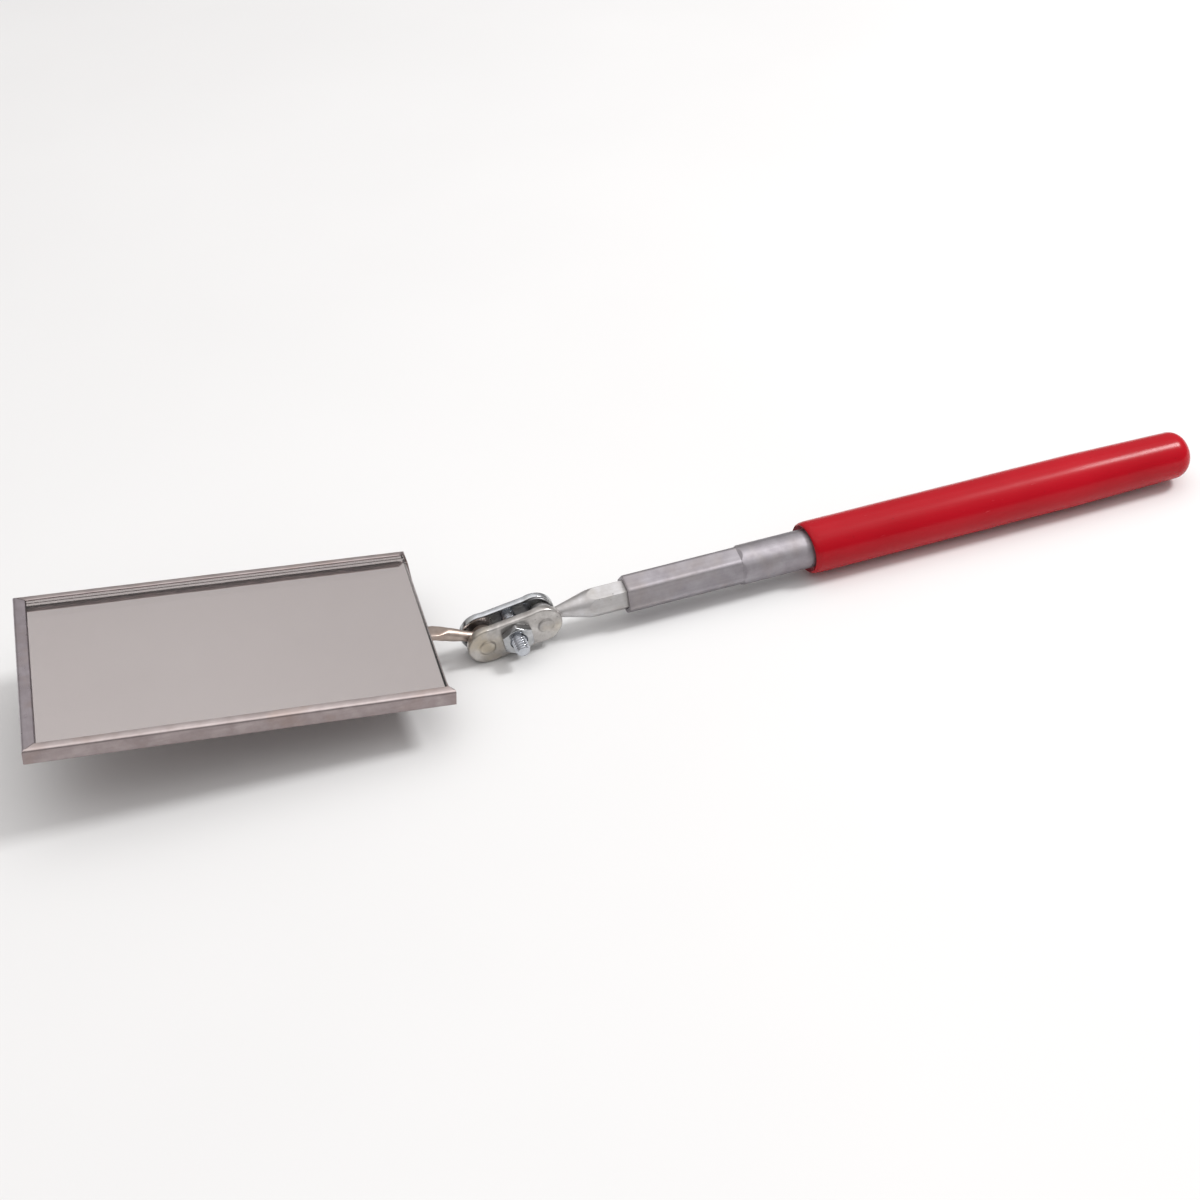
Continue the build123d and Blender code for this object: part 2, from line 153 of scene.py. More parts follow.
PLATE_END_R, PLATE_END_X, PLATE_WAIST, PLATE_BLEND = 4.9, 6.55, 9.4, 6.0
PLATE_RIM, PLATE_FACE, PLATE_SHEET, PLATE_BEND = 1.73, 3.6, 0.9, 0.6
NEAR_PLATE_SHIFT, FAR_PLATE_SHIFT = -0.2, -0.75
DOME_R, DOME_CROWN = 4.06, 1.15
DIMPLE_R, DIMPLE_EDGE, DIMPLE_FALL = 2.15, 0.55, 0.35
SEAT_GAP = 0.05
PLATE_HOLE_R = 1.9
SCREW_R, SCREW_TIP, PITCH, THREAD_DEPTH = 1.75, 9.2, 0.794, 0.36
SCREW_HEAD_R, SCREW_HEAD, HEAD_ROUND = 2.93, 2.1, 0.8
SLOT_WIDTH, SLOT_DEPTH, SLOT_REACH = 1.0, 0.9, 6
THREAD_SIDES, THREAD_STEPS = 72, 14
THREAD_ROOT, THREAD_FLANK = 0.10, 0.72     # shares of half a turn
TIP_LENGTH, TIP_INSET, TIP_SLOPE = 0.6, 0.45, 0.8
HEAD_EDGE = 0.12
NUT_FLATS, NUT_HEIGHT, NUT_BASE = 7.0, 1.9, 3.62
NUT_TURN, NUT_SIDES = math.radians(87.0), 180
NUT_CORNER, NUT_FACE, NUT_EDGE = 0.06, 0.965, 0.13
NUT_TILT = math.radians(30.0)      # slope of the chamfer over the nut's corners
NUT_BORE_GAP, NUT_BACK_SINK, NUT_FRONT_SINK = 0.05, 0.4, 0.42
RUNNING_GAP = 0.02
STEM_R, STEM_NECK_R = 1.54, 1.28
STEM_NECK, STEM_NECK_TAPER = 5.2, 2.4
PADDLE_WIDTH, PADDLE_THICK, PADDLE_LENGTH = 4.2, 1.6, 16.0
STEM_BEND_X, STEM_FLAT = 0.6, 3.4
STEM_SIDES, STEM_STEP = 48, 0.8
PADDLE_TIP, PADDLE_SQUARE = 2.0, 1.6
BOX_FACES = ((0, 1, 3, 2), (4, 6, 7, 5), (0, 4, 5, 1), (2, 3, 7, 6), (0, 2, 6, 4), (1, 5, 7, 3))

glass_mid_x = -FRAME_LENGTH + GLASS_INSET + GLASS_LENGTH / 2
HEAD_ANCHOR = GLASS_CENTRE - head_long * glass_mid_x - head_up * (GLASS_BASE + GLASS_THICK / 2)
HEAD = frame_matrix(HEAD_ANCHOR, head_long, head_up)
HEAD_INV = HEAD.inverted()


# ---------------------------------------------------------------- mesh helpers
def build(name, points, faces, place, sharp=35.0):
    """A smooth-shaded mesh object from local millimetres, with creases over sharp degrees."""
    mesh = bpy.data.meshes.new(name)
    mesh.from_pydata([place @ Vector(p) for p in points], [], faces)
    mesh.validate()
    mesh.polygons.foreach_set("use_smooth", [True] * len(mesh.polygons))
    mesh.set_sharp_from_angle(angle=math.radians(sharp))
    mesh.update()
    obj = bpy.data.objects.new(name, mesh)
    bpy.context.scene.collection.objects.link(obj)
    return obj


def skin(rings, closed=False, start_cap=False, end_cap=False):
    """Points and faces of a tube of rings, each the same number of points."""
    count = len(rings[0])
    points = [p for ring in rings for p in ring]
    faces = []
    pairs = list(zip(range(len(rings) - 1), range(1, len(rings))))
    if closed:
        pairs.append((len(rings) - 1, 0))
    for a, b in pairs:
        for i in range(count):
            j = (i + 1) % count
            faces.append((a * count + i, a * count + j, b * count + j, b * count + i))
    for cap, ring, flip in ((start_cap, 0, True), (end_cap, len(rings) - 1, False)):
        if cap:
            centre = Vector(np.mean([tuple(p) for p in rings[ring]], axis=0))
            points.append(centre)
            for i in range(count):
                j = (i + 1) % count
                edge = (ring * count + i, ring * count + j)
                faces.append((edge[::-1] if flip else edge) + (len(points) - 1,))
    return points, faces


def box_corners(xs, ys, zs):
    """The eight corners of a box, in the order that BOX_FACES reads them."""
    return [Vector((x, y, z)) for x in xs for y in ys for z in zs]


def fix_normals(obj):
    """Faces point outwards."""
    bm = bmesh.new()
    bm.from_mesh(obj.data)
    bmesh.ops.recalc_face_normals(bm, faces=bm.faces)
    bm.to_mesh(obj.data)
    bm.free()
    return obj


def hex_radius(angle, flats, turn, corner):
    """Distance from a hexagon's centre to its edge at angle, with its corners rounded."""
    step = TURN / 6
    from_flat = abs((angle - turn) % step - step / 2)
    half = flats / 2
    if math.tan(from_flat) * half <= (half - corner) * math.tan(step / 2):
        return half / math.cos(from_flat)
    centre = (half - corner) / math.cos(step / 2)
    from_corner = step / 2 - from_flat
    return centre * math.cos(from_corner) + math.sqrt(
        max(0.0, corner ** 2 - (centre * math.sin(from_corner)) ** 2))


def soft_min(a, b, width):
    """The smaller of a and b, blended over width."""
    if width <= 0:
        return min(a, b)
    h = max(0.0, min(1.0, 0.5 + 0.5 * (b - a) / width))
    return b * (1 - h) + a * h - width * h * (1 - h)


def along_x(stations, radius, count):
    """Rings about the handle axis: stations are x values, radius(x, angle) gives each point."""
    rings = []
    for x in stations:
        ring = []
        for i in range(count):
            a = TURN * i / count + HEX_TURN
            r = radius(x, a)
            ring.append(Vector((x, r * math.cos(a), r * math.sin(a))))
        rings.append(ring)
    return rings


def spread(start, end, step):
    """Evenly spaced values from start to end, about step apart."""
    return list(np.linspace(start, end, max(2, int(abs(end - start) / step) + 1)))


def wobble(x, a, size, seed):
    """A small smooth unevenness that closes round the axis."""
    return size * (
        math.sin(3 * a + 1.7 * x + seed) * 0.5
        + math.sin(7 * a - 2.9 * x + 2.1 * seed) * 0.3
        + math.sin(13 * a + 5.3 * x + 0.7 * seed) * 0.2
    )


# ---------------------------------------------------------------- material helpers
class Nodes:
    """Short calls for building one material's node tree."""

    def __init__(self, name):
        self.material = bpy.data.materials.new(name)
        self.material.use_nodes = True
        self.tree = self.material.node_tree
        self.shader = self.tree.nodes["Principled BSDF"]
        self.coords = self.tree.nodes.new("ShaderNodeTexCoord").outputs["Object"]

    def node(self, kind, **values):
        made = self.tree.nodes.new(kind)
        for key, value in values.items():
            setattr(made, key, value)
        return made

    def link(self, a, b):
        self.tree.links.new(a, b)

    def mapping(self, scale, turn=(0, 0, 0)):
        made = self.node("ShaderNodeMapping")
        made.inputs["Scale"].default_value = scale
        made.inputs["Rotation"].default_value = turn
        self.link(self.coords, made.inputs["Vector"])
        return made.outputs["Vector"]

    def noise(self, scale, detail=4.0, rough=0.55, stretch=(1, 1, 1), turn=(0, 0, 0)):
        made = self.node("ShaderNodeTexNoise")
        made.inputs["Scale"].default_value = scale
        made.inputs["Detail"].default_value = detail
        made.inputs["Roughness"].default_value = rough
        self.link(self.mapping(stretch, turn), made.inputs["Vector"])
        return made.outputs["Fac"]

    def spots(self, scale, stretch=(1, 1, 1)):
        made = self.node("ShaderNodeTexVoronoi")
        made.inputs["Scale"].default_value = scale
        self.link(self.mapping(stretch), made.inputs["Vector"])
        return made.outputs["Distance"]

    def ramp(self, value, stops):
        made = self.node("ShaderNodeValToRGB")
        elements = made.color_ramp.elements
        while len(elements) < len(stops):
            elements.new(0.5)
        for element, (at, colour) in zip(elements, stops):
            element.position = at
            element.color = (*colour, 1) if len(colour) == 3 else colour
        self.link(value, made.inputs["Fac"])
        return made.outputs["Color"]

    def span(self, value, low, high, out_low, out_high):
        made = self.node("ShaderNodeMapRange")
        made.inputs["From Min"].default_value = low
        made.inputs["From Max"].default_value = high
        made.inputs["To Min"].default_value = out_low
        made.inputs["To Max"].default_value = out_high
        self.link(value, made.inputs["Value"])
        return made.outputs["Result"]

    def mix(self, factor, a, b, blend="MIX"):
        made = self.node("ShaderNodeMix", data_type="RGBA", blend_type=blend)
        for value, socket in ((factor, made.inputs[0]), (a, made.inputs[6]), (b, made.inputs[7])):
            if hasattr(value, "is_output"):
                self.link(value, socket)
            elif isinstance(value, (int, float)):
                socket.default_value = value
            else:
                socket.default_value = (*value, 1)
        return made.outputs[2]

    def math(self, kind, a, b):
        made = self.node("ShaderNodeMath", operation=kind)
        for value, socket in ((a, made.inputs[0]), (b, made.inputs[1])):
            if hasattr(value, "is_output"):
                self.link(value, socket)
            else:
                socket.default_value = value
        return made.outputs[0]

    def bump(self, *layers):
        """Each layer is (height, strength, distance in millimetres), one on top of the other."""
        normal = None
        for height, strength, distance in layers:
            made = self.node("ShaderNodeBump")
            made.inputs["Strength"].default_value = strength
            made.inputs["Distance"].default_value = distance * MM
            self.link(height, made.inputs["Height"])
            if normal is not None:
                self.link(normal, made.inputs["Normal"])
            normal = made.outputs["Normal"]
        self.link(normal, self.shader.inputs["Normal"])


def rgb(r, g, b):
    """An sRGB colour, 0 to 255, as linear values."""
    return tuple(
        (c / 255 / 12.92) if c / 255 <= 0.04045 else ((c / 255 + 0.055) / 1.055) ** 2.4
        for c in (r, g, b)
    )


def plated(name, dark, light, stain, rough, streak=(1, 1, 1), grain=0.25, pits=0.35, dents=0.12,
           pit_scale=1500):
    """Worn metal: two tones, stains, small pits, streaks along one direction."""
    n = Nodes(name)
    tone = n.ramp(n.noise(320, 6, 0.6), [(0.32, dark), (0.68, light)])
    cloud = n.ramp(n.noise(150, 3, 0.5), [(0.50, (0, 0, 0)), (0.72, (1, 1, 1))])
    tone = n.mix(n.math("MULTIPLY", cloud, 0.55), tone, stain)
    speck = n.ramp(n.spots(pit_scale), [(0.05, (1, 1, 1)), (0.16, (0, 0, 0))])
    gate = n.ramp(n.noise(700, 2, 0.5), [(0.50, (0, 0, 0)), (0.60, (1, 1, 1))])
    pit = n.math("MULTIPLY", n.math("MULTIPLY", speck, gate), pits)
    lines = n.noise(900, 3, 0.6, streak)
    tone = n.mix(pit, tone, tuple(c * 0.25 for c in dark))
    tone = n.mix(n.span(lines, 0.3, 0.7, 0.0, 0.35), tone, tuple(c * 0.72 for c in dark))
    n.link(tone, n.shader.inputs["Base Color"])
    n.shader.inputs["Metallic"].default_value = 1.0
    worn = n.math("ADD", n.span(n.noise(420, 5, 0.6), 0.3, 0.7, rough - 0.07, rough + 0.09),
                  n.math("MULTIPLY", pit, 0.4))
    n.link(worn, n.shader.inputs["Roughness"])
    n.bump((lines, grain, 0.03), (n.noise(260, 4, 0.6), dents, 0.06), (pit, -0.5, 0.05))
    return n.material


def grip_vinyl():
    n = Nodes("grip_vinyl")
    tone = n.ramp(n.noise(45, 4, 0.5), [(0.30, rgb(166, 5, 23)), (0.70, rgb(178, 8, 28))])
    scuff = n.ramp(n.noise(2200, 2, 0.7, (0.10, 1, 1), (0, 0, 0.5)),
                   [(0.68, (0, 0, 0)), (0.78, (1, 1, 1))])
    gate = n.ramp(n.noise(130, 2, 0.5), [(0.58, (0, 0, 0)), (0.66, (1, 1, 1))])
    scratch = n.math("MULTIPLY", scuff, gate)
    tone = n.mix(n.math("MULTIPLY", scratch, 0.25), tone, rgb(225, 95, 105))
    dirt = n.ramp(n.spots(260), [(0.03, (1, 1, 1)), (0.07, (0, 0, 0))])
    tone = n.mix(n.math("MULTIPLY", dirt, 0.3), tone, rgb(90, 10, 20))
    n.link(tone, n.shader.inputs["Base Color"])
    n.link(n.math("ADD", n.span(n.noise(120, 4, 0.6), 0.3, 0.7, 0.20, 0.26),
                  n.math("MULTIPLY", scratch, 0.2)), n.shader.inputs["Roughness"])
    n.shader.inputs["IOR"].default_value = 1.5
    n.shader.inputs["Specular IOR Level"].default_value = 0.20
    n.bump((n.noise(90, 3, 0.5), 0.10, 0.25), (n.noise(1400, 2, 0.6), 0.06, 0.02), (scratch, -0.15, 0.02))
    return n.material


def mouth_vinyl():
    n = Nodes("mouth_vinyl")
    tone = n.ramp(n.noise(800, 4, 0.6), [(0.35, rgb(128, 26, 38)), (0.65, rgb(184, 56, 70))])
    n.link(tone, n.shader.inputs["Base Color"])
    n.link(n.span(n.noise(600, 3, 0.6), 0.3, 0.7, 0.45, 0.7), n.shader.inputs["Roughness"])
    n.bump((n.noise(900, 3, 0.6), 0.6, 0.12))
    return n.material


def silvering():
    n = Nodes("silvering")
    tone = n.ramp(n.noise(14, 3, 0.5), [(0.3, rgb(227, 224, 223)), (0.7, rgb(233, 230, 229))])
    n.link(tone, n.shader.inputs["Base Color"])
    n.shader.inputs["Metallic"].default_value = 1.0
    n.link(n.span(n.noise(300, 5, 0.7), 0.45, 0.8, 0.015, 0.09), n.shader.inputs["Roughness"])
    n.bump((n.noise(9, 1, 0.4), 0.03, 0.2))
    return n.material


def sheet_glass():
    n = Nodes("sheet_glass")
    n.shader.inputs["IOR"].default_value = 1.5
    n.shader.inputs["Transmission Weight"].default_value = 1.0
    n.link(n.ramp(n.noise(20, 2, 0.5), [(0.3, (0.985, 0.955, 0.955)), (0.7, (0.99, 0.965, 0.965))]),
           n.shader.inputs["Base Color"])
    smear = n.ramp(n.noise(60, 5, 0.65), [(0.52, (0, 0, 0)), (0.80, (1, 1, 1))])
    n.link(n.span(smear, 0.0, 1.0, 0.0, 0.06), n.shader.inputs["Roughness"])
    n.bump((n.noise(12, 1, 0.4), 0.02, 0.1))
    return n.material


def felt():
    n = Nodes("pad_felt")
    tone = n.ramp(n.noise(1800, 6, 0.7), [(0.3, (0.05, 0.045, 0.04)), (0.7, (0.16, 0.145, 0.12))])
    n.link(tone, n.shader.inputs["Base Color"])
    n.shader.inputs["Roughness"].default_value = 0.95
    n.bump((n.noise(2500, 5, 0.7), 0.8, 0.15))
    return n.material


MATERIALS = {
    # The frame is one folded steel sheet in three tones: the walls darker (painted shade), the up-facing
    # lips lighter and the end lip bluer (painted light).
    "wall": plated("frame_steel_painted_shade", rgb(150, 138, 138), rgb(172, 161, 161), rgb(150, 130, 122), 0.36,
                   (0.05, 1, 1), 0.3, 0.2),
    "lip": plated("frame_steel_painted_light", rgb(184, 172, 171), rgb(203, 193, 192), rgb(190, 169, 160), 0.42,
                  (0.05, 1, 1), 0.3, 0.15),
    "end_lip": plated("frame_end_lip_painted_light", rgb(172, 163, 168), rgb(192, 184, 190), rgb(176, 158, 150), 0.32,
                      (1, 0.05, 1), 0.3, 0.15),
    "stem": plated("stem_nickel", rgb(170, 154, 145), rgb(194, 180, 171), rgb(154, 132, 119), 0.42,
                   (0.05, 1, 1), 0.15, 0.3, 0.04),
    "plate": plated("plate_zinc", rgb(172, 168, 165), rgb(214, 211, 208), rgb(184, 168, 136), 0.36,
                    pits=0.8, pit_scale=900),
    # A lighter, bluer copy of the plate zinc for the far plate: the extra lightness is painted light.
    "far_plate": plated("far_plate_zinc_painted_light", rgb(186, 189, 193), rgb(222, 225, 230), rgb(184, 182, 170), 0.22,
                        grain=0.1, pits=0.3, dents=0.08),
    "screw": plated("screw_zinc", rgb(182, 186, 194), rgb(220, 224, 232), rgb(186, 188, 190), 0.17,
                    grain=0.05, pits=0.1, dents=0.03),
    "nut": plated("nut_zinc", rgb(164, 166, 168), rgb(202, 203, 205), rgb(170, 167, 158), 0.21,
                  grain=0.05, pits=0.1, dents=0.03),
    "rod": plated("rod_zinc", rgb(190, 187, 186), rgb(213, 212, 214), rgb(186, 181, 171), 0.48,
                  (0.08, 1, 1), 0.15, 0.9, 0.05, pit_scale=800),
    "tube": plated("tube_nickel", rgb(156, 151, 156), rgb(175, 171, 176), rgb(164, 156, 153), 0.54,
                   (0.012, 1, 1), 0.35, 0.12, 0.03),
    "bush": plated("bush_brass", rgb(170, 130, 60), rgb(205, 165, 90), rgb(120, 85, 45), 0.35),
    "spring": plated("spring_steel", rgb(96, 96, 100), rgb(130, 130, 136), rgb(90, 80, 72), 0.35),
    "grip": grip_vinyl(),
    "mouth": mouth_vinyl(),
    "silver": silvering(),
    "glass": sheet_glass(),
    "felt": felt(),
}


def dress(obj, material, body, slot, *nodes):
    """Finish a new piece: material, body, and the CAD nodes it stands for; the slot argument is not used."""
    obj.data.materials.clear()
    obj.data.materials.append(MATERIALS[material])
    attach(obj, body)
    if nodes:
        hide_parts(*nodes)
    return obj


# ---------------------------------------------------------------- handle tube and rod
ROUND = 288


def tube_outer(x, a):
    fade = max(0.0, min(1.0, (x - HEX_END) / (FADE_END - HEX_END)))
    flats = HEX_FLATS + (FADED_FLATS - HEX_FLATS) * fade
    edge = MOUTH_EDGE * max(0.0, 1 - (x - TUBE_MOUTH) / MOUTH_EDGE_LENGTH)
    return min(hex_radius(a, flats, HEX_TURN, HEX_CORNER), TUBE_R) - edge


def tube_inner(x, a):
    flare = MOUTH_FLARE * max(0.0, 1 - (x - TUBE_MOUTH) / MOUTH_FLARE_LENGTH)
    if x <= HEX_END:
        return hex_radius(a, HEX_BORE_FLATS, HEX_TURN, BORE_CORNER) + flare
    return TUBE_BORE_R


def outer_tube():
    outer = (spread(TUBE_MOUTH, TUBE_MOUTH + 0.35, 0.1) + spread(TUBE_MOUTH + 1, HEX_END - 0.5, 3)
             + spread(HEX_END, FADE_END + 0.2, 0.1) + spread(FADE_END + 2, TUBE_END, 8))
    inner = (spread(TUBE_MOUTH, TUBE_MOUTH + 0.4, 0.1) + spread(TUBE_MOUTH + 1, HEX_END, 3)
             + spread(HEX_END + 0.05, TUBE_END, 10))
    rings = along_x(outer, tube_outer, ROUND) + along_x(inner[::-1], tube_inner, ROUND)
    return dress(fix_normals(build("outer_tube_shell", *skin(rings, closed=True), HANDLE, 30)),
                 "tube", "handle", "tube_steel", "outer_tube")


def rod_radius(x, a):
    s = x - ROD_BALL.x
    bar = hex_radius(a, ROD_FLATS, HEX_TURN, ROD_CORNER)
    if s < NECK_END:
        return NECK_R
    slope = (TAPER_END_R - NECK_R) / (TAPER_END - NECK_END)
    return soft_min(bar, NECK_R + slope * (s - NECK_END), TAPER_BLEND)


def bar_end_radius(x, a):
    return hex_radius(a, ROD_FLATS, HEX_TURN, ROD_CORNER) - BAR_CHAMFER


def tail_radius(x, a):
    return TAIL_R - TAIL_CHAMFER * (x == ROD_END)


def telescoping_rod():
    front = [ROD_BALL.x + s for s in [BALL_OVERLAP, 3.2] + spread(NECK_END, TAPER_END + 1.5, 0.1)]
    stations = front + spread(front[-1] + 1.5, TAIL_START - 0.3, 6)
    rings = along_x(stations, rod_radius, ROUND)
    rings += along_x([TAIL_START], bar_end_radius, ROUND)
    rings += along_x([TAIL_START, ROD_END - 0.4, ROD_END], tail_radius, ROUND)
    shape = skin(rings, start_cap=True, end_cap=True)
    return dress(fix_normals(build("telescoping_rod_bar", *shape, HANDLE, 32)),
                 "rod", "rod", "rod_steel", "telescoping_rod")


def ball(name, centre, material, body, slot, node):
    rings = []
    for i in range(1, BALL_RINGS):
        t = math.pi * i / BALL_RINGS
        rings.append([
            Vector((BALL_R * math.cos(t),
                    BALL_R * math.sin(t) * math.cos(TURN * j / BALL_SIDES),
                    BALL_R * math.sin(t) * math.sin(TURN * j / BALL_SIDES)))
            for j in range(BALL_SIDES)
        ])
    place = Matrix.Scale(MM, 4) @ Matrix.Translation(centre)
    shape = skin(rings, start_cap=True, end_cap=True)
    return dress(fix_normals(build(name, *shape, place, 60)), material, body, slot, node)


# ---------------------------------------------------------------- grip
def grip_outer(x, a):
    if x < GRIP_FRONT + GRIP_LIP:
        t = (GRIP_FRONT + GRIP_LIP - x) / GRIP_LIP
        r = GRIP_R - GRIP_INSET - (GRIP_R - MOUTH_R) * (1 - math.sqrt(max(0.0, 1 - t * t)))
        return r + wobble(x, a, LIP_WOBBLE, 2.0) * t
    if x < GRIP_TAPER:
        return GRIP_R - GRIP_INSET + wobble(x * 0.12, a, BARREL_WOBBLE, 1.0)
    dome = GRIP_END - GRIP_DOME
    if x < dome:
        return GRIP_R - GRIP_INSET - (GRIP_R - GRIP_END_R) * (x - GRIP_TAPER) / (dome - GRIP_TAPER)
    t = min(1.0, (x - dome) / GRIP_DOME)
    return (GRIP_END_R - GRIP_INSET) * math.sqrt(max(0.0, 1 - t ** DOME_POWER))


def grip_inner(x, a):
    depth = (x - GRIP_FRONT) / MOUTH_DEPTH
    if depth < 1:
        ragged = wobble(x * 2, a, MOUTH_WOBBLE, 5.0) * (1 - depth)
        return TUBE_R + 0.02 + (MOUTH_R - TUBE_R) * (1 - depth) ** 0.6 + ragged
    return TUBE_R + 0.005


def grip():
    dome = GRIP_END - GRIP_DOME
    outer = ([GRIP_FRONT + GRIP_LIP * (1 - math.cos(math.pi * i / 20)) for i in range(0, 11)]
             + spread(GRIP_FRONT + GRIP_LIP, dome, 3)
             + [dome + GRIP_DOME * math.sin(math.pi / 2 * i / 14) for i in range(1, 14)])
    inner = [GRIP_FRONT + MOUTH_DEPTH * i / 12 for i in range(13)]
    inner += spread(GRIP_FRONT + 4, TUBE_END + 0.05, 15)
    rings = along_x(outer[::-1], grip_outer, GRIP_SIDES) + along_x(inner, grip_inner, GRIP_SIDES)
    for ring in rings:
        for point in ring:
            point.x -= point.y * MOUTH_SLANT * max(0.0, 1 - (point.x - GRIP_FRONT) / SLANT_REACH)
    shape = skin(rings, start_cap=True, end_cap=True)
    obj = fix_normals(build("grip_sleeve_skin", *shape, HANDLE, 50))
    dress(obj, "grip", "handle", "grip_vinyl", "grip_sleeve")
    obj.data.materials.append(MATERIALS["mouth"])
    for face in obj.data.polygons:
        centre = face.center / MM
        radius = math.hypot(centre.y, centre.z)
        if centre.x < GRIP_FRONT + MOUTH_DEPTH + 1 and radius < MOUTH_R - 0.02:
            face.material_index = 1
    return obj


# ---------------------------------------------------------------- clamp
def arc(centre, radius, start, end, count, inward=False):
    """(point, outward direction) pairs along an arc, angles in radians."""
    pairs = []
    for a in np.linspace(start, end, count):
        direction = Vector((math.cos(a), math.sin(a), 0))
        pairs.append((centre + direction * radius, -direction if inward else direction))
    return pairs


def plate_outline(shift):
    """Round ends on a narrower waist: (point, outward direction) pairs, counter-clockwise."""
    half = PLATE_WAIST / 2
    blend_y = half + PLATE_BLEND
    blend_x = PLATE_END_X - math.sqrt((PLATE_END_R + PLATE_BLEND) ** 2 - blend_y ** 2)
    lean = math.atan2(PLATE_END_X - blend_x, blend_y)
    quarter = math.pi / 2
    right = arc(Vector((blend_x, -blend_y, 0)), PLATE_BLEND, quarter, quarter - lean, 10, inward=True)
    right += arc(Vector((PLATE_END_X, 0, 0)), PLATE_END_R, -quarter - lean, quarter + lean, 90)
    right += arc(Vector((blend_x, blend_y, 0)), PLATE_BLEND, lean - quarter, -quarter, 10, inward=True)
    right += [(Vector((x, half, 0)), Vector((0, 1, 0))) for x in np.linspace(blend_x, -blend_x, 40)[1:-1]]
    move = Vector((shift, 0, 0))
    return ([(point + move, out) for point, out in right]
            + [(move - point, -out) for point, out in right])


def plate_height(point, outside):
    """Height of the plate's outer or inner surface, with a round seat over each ball."""
    base = PLATE_FACE if outside else PLATE_FACE - PLATE_SHEET
    height = base
    for side in (-1, 1):
        gap = math.hypot(point.x - side * BALL_SPACING / 2, point.y)
        if outside:
            rise = (DOME_R - PLATE_FACE) * DOME_CROWN
            edge = max(0.0, min(1.0, (DIMPLE_R - gap) / DIMPLE_EDGE))
            crown = 1 - DIMPLE_FALL * (gap / DIMPLE_R) ** 2
            height = max(height, base + rise * edge * edge * (3 - 2 * edge) * crown)
        elif gap < BALL_R + SEAT_GAP:
            height = max(height, math.sqrt((BALL_R + SEAT_GAP) ** 2 - gap * gap))
    return height


def clamp_plate(name, place, material, node, shift):
    outline = plate_outline(shift)

    def edge(inset, height):
        return [point - out * inset + Vector((0, 0, height)) for point, out in outline]

    def surface(outside):
        rings = []
        reach = PLATE_BEND if outside else PLATE_SHEET + 0.1
        for t in np.linspace(0, 1, 44):
            ring = []
            for point in edge(reach, 0.0):
                made = (point.normalized() * PLATE_HOLE_R).lerp(point, t)
                made.z = plate_height(made, outside)
                ring.append(made)
            rings.append(ring)
        return rings

    rings = surface(True)
    for b in np.linspace(0, math.pi / 2, 7)[1:]:
        rings.append(edge(PLATE_BEND * (1 - math.sin(b)), PLATE_FACE - PLATE_BEND * (1 - math.cos(b))))
    for inset, z in ((0.0, PLATE_RIM + 0.2), (0.06, PLATE_RIM + 0.06), (0.2, PLATE_RIM),
                     (PLATE_SHEET - 0.2, PLATE_RIM), (PLATE_SHEET - 0.06, PLATE_RIM + 0.06),
                     (PLATE_SHEET, PLATE_RIM + 0.2), (PLATE_SHEET, PLATE_FACE - PLATE_SHEET - 0.1)):
        rings.append(edge(inset, z))
    rings += surface(False)[::-1]
    obj = fix_normals(build(name, *skin(rings, closed=True), place, 50))
    return dress(obj, material, "clamp", "clamp_zinc", node)


def thread_radius(z, a):
    """Radius of a rolled thread at height z and angle a, tapering at the tip."""
    phase = (z / PITCH - a / TURN) % 1.0
    tooth = 1 - abs(2 * phase - 1)
    tooth = min(1.0, max(0.0, (tooth - THREAD_ROOT) / THREAD_FLANK))
    r = SCREW_R - RUNNING_GAP - THREAD_DEPTH * (1 - tooth)
    tip = SCREW_TIP - z
    return min(r, SCREW_R - TIP_INSET + tip * TIP_SLOPE) if tip < TIP_LENGTH else r


def clamp_screw():
    count = THREAD_SIDES
    step = PITCH / THREAD_STEPS
    heights = [-PLATE_FACE + step * i for i in range(int((SCREW_TIP + PLATE_FACE) / step))] + [SCREW_TIP]
    rings = [
        [Vector((thread_radius(z, TURN * i / count) * math.cos(TURN * i / count),
                 thread_radius(z, TURN * i / count) * math.sin(TURN * i / count), z))
         for i in range(count)]
        for z in heights
    ]
    shank = fix_normals(build("clamp_screw_thread", *skin(rings, start_cap=True, end_cap=True), NEAR, 70))
    dress(shank, "screw", "clamp", "fastener_zinc", "clamp_screw")
    profile = [(0.02, -PLATE_FACE - SCREW_HEAD)]
    for k in range(11):
        b = math.pi / 2 * k / 10
        profile.append((SCREW_HEAD_R - HEAD_ROUND * (1 - math.sin(b)),
                        -PLATE_FACE - SCREW_HEAD + HEAD_ROUND * (1 - math.cos(b))))
    profile += [(SCREW_HEAD_R, -PLATE_FACE - HEAD_EDGE),
                (SCREW_HEAD_R - HEAD_EDGE, -PLATE_FACE)]
    half = SLOT_WIDTH / 2
    body = [[Vector((r * math.cos(TURN * i / count), r * math.sin(TURN * i / count), z))
             for i in range(count)] for r, z in profile]
    head = fix_normals(build("clamp_screw_head", *skin(body, start_cap=True, end_cap=True), NEAR, 40))
    head_top = -PLATE_FACE - SCREW_HEAD
    cutter_box = box_corners((-SLOT_REACH, SLOT_REACH), (-half, half), (head_top - 1, head_top + SLOT_DEPTH))
    cutter = fix_normals(build("slot_cutter", cutter_box, BOX_FACES, NEAR))
    cut = head.modifiers.new("slot", "BOOLEAN")
    cut.operation = "DIFFERENCE"
    cut.object = cutter
    graph = bpy.context.evaluated_depsgraph_get()
    carved = bpy.data.meshes.new_from_object(head.evaluated_get(graph))
    head.modifiers.clear()
    head.data = carved
    bpy.data.objects.remove(cutter)
    return dress(head, "screw", "clamp", "fastener_zinc")


